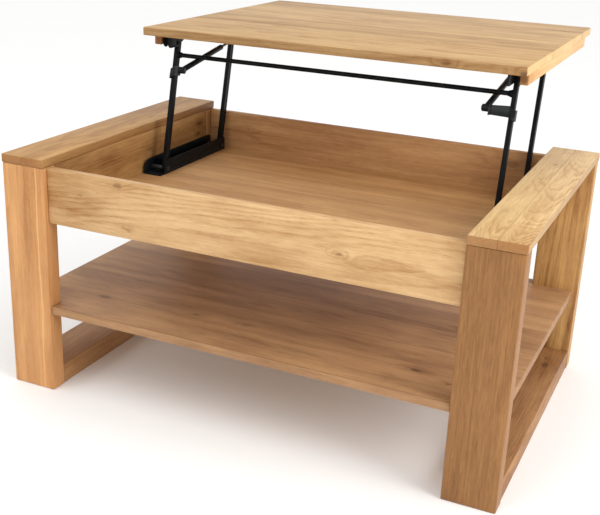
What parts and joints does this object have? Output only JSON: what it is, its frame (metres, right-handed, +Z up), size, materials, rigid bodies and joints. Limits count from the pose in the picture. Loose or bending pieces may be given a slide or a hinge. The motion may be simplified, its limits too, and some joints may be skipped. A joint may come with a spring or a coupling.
{
  "type": "lift top coffee table",
  "caption": "Oak coffee table whose top rises and shifts towards the user on parallel arms with gas struts, over a storage box and an open lower shelf.",
  "frame": {"origin": "on the floor, under the middle of the bounding box of the table with its top raised", "axes": "+X along the table's length, +Y the way the top travels as it rises, +Z up"},
  "size_m": [1.08, 1.0632, 0.74],
  "materials": {
    "oak": "oiled",
    "oak_leg": "oiled",
    "oak_inside": "oiled",
    "black_steel": "satin powder coat",
    "bright_steel": "polished",
    "zinc_steel": "blackened zinc"
  },
  "bodies": {
    "frame": {"base_channel_left": "black_steel", "base_channel_right": "black_steel", "base_screw_left_1": "zinc_steel", "base_screw_left_2": "zinc_steel", "base_screw_right_1": "zinc_steel", "base_screw_right_2": "zinc_steel", "box_floor": "oak_inside", "cap_board_left": "oak", "cap_board_right": "oak", "floor_rail_left": "oak_leg", "floor_rail_right": "oak_leg", "front_apron": "oak", "front_base_pin_left": "zinc_steel", "front_base_pin_right": "zinc_steel", "leg_front_left": "oak_leg", "leg_front_right": "oak_leg", "leg_rear_left": "oak_leg", "leg_rear_right": "oak_leg", "lower_shelf": "oak_inside", "rear_apron": "oak", "rear_base_pin_left": "zinc_steel", "rear_base_pin_right": "zinc_steel", "side_panel_left": "oak", "side_panel_right": "oak"},
    "front_arm_pair": {"crossbar": "black_steel", "front_arm_left": "black_steel", "front_arm_right": "black_steel", "strut_lower_pin_left": "zinc_steel", "strut_lower_pin_right": "zinc_steel", "strut_strap_left": "black_steel", "strut_strap_right": "black_steel"},
    "lifting_top": {"bracket_screw_left_1": "zinc_steel", "bracket_screw_left_2": "zinc_steel", "bracket_screw_right_1": "zinc_steel", "bracket_screw_right_2": "zinc_steel", "front_top_pin_left": "zinc_steel", "front_top_pin_right": "zinc_steel", "lift_top": "oak", "rear_top_pin_left": "zinc_steel", "rear_top_pin_right": "zinc_steel", "strut_upper_stud_left": "zinc_steel", "strut_upper_stud_right": "zinc_steel", "top_bracket_left": "black_steel", "top_bracket_right": "black_steel", "top_cleat_left": "oak_inside", "top_cleat_right": "oak_inside"},
    "left_rear_arm": {"rear_arm_left": "black_steel"},
    "right_rear_arm": {"rear_arm_right": "black_steel"},
    "left_strut_tube": {"strut_cylinder_left": "black_steel"},
    "right_strut_tube": {"strut_cylinder_right": "black_steel"},
    "left_strut_rod": {"strut_rod_left": "bright_steel"},
    "right_strut_rod": {"strut_rod_right": "bright_steel"}
  },
  "joints": [
    {"name": "lift", "type": "hinge", "parent": "frame", "child": "front_arm_pair", "pos_m": [0, -0.13906, 0.414], "axis": [1, 0, 0], "range_deg": [0, 88.45]},
    {"name": "top_level", "type": "hinge", "parent": "front_arm_pair", "child": "lifting_top", "pos_m": [0, -0.07408, 0.712], "axis": [1, 0, 0], "range_deg": [-88.45, 0]},
    {"name": "left_rear_arm_swing", "type": "hinge", "parent": "frame", "child": "left_rear_arm", "pos_m": [-0.39305, 0.12495, 0.414], "axis": [1, 0, 0], "range_deg": [0, 88.45]},
    {"name": "left_strut_swing", "type": "hinge", "parent": "front_arm_pair", "child": "left_strut_tube", "pos_m": [-0.349, -0.13452, 0.64698], "axis": [1, 0, 0], "range_deg": [-83.34, 0]},
    {"name": "left_strut_slide", "type": "slide", "parent": "left_strut_tube", "child": "left_strut_rod", "axis": [0, 0.9869, 0.1612], "range_m": [-0.1219, 0]},
    {"name": "right_rear_arm_swing", "type": "hinge", "parent": "frame", "child": "right_rear_arm", "pos_m": [0.39305, 0.12495, 0.414], "axis": [1, 0, 0], "range_deg": [0, 88.45]},
    {"name": "right_strut_swing", "type": "hinge", "parent": "front_arm_pair", "child": "right_strut_tube", "pos_m": [0.349, -0.13452, 0.64698], "axis": [1, 0, 0], "range_deg": [-83.34, 0]},
    {"name": "right_strut_slide", "type": "slide", "parent": "right_strut_tube", "child": "right_strut_rod", "axis": [0, 0.9869, 0.1612], "range_m": [-0.1219, 0]}
  ],
  "couplings": [
    {"joint": "top_level", "follows": "lift", "ratio": -1},
    {"joint": "left_rear_arm_swing", "follows": "lift", "ratio": 1},
    {"joint": "left_strut_swing", "follows": "lift", "ratio": -0.94213},
    {"joint": "left_strut_slide", "follows": "lift", "m_per_rad": -0.078944},
    {"joint": "right_rear_arm_swing", "follows": "lift", "ratio": 1},
    {"joint": "right_strut_swing", "follows": "lift", "ratio": -0.94213},
    {"joint": "right_strut_slide", "follows": "lift", "m_per_rad": -0.078944}
  ]
}
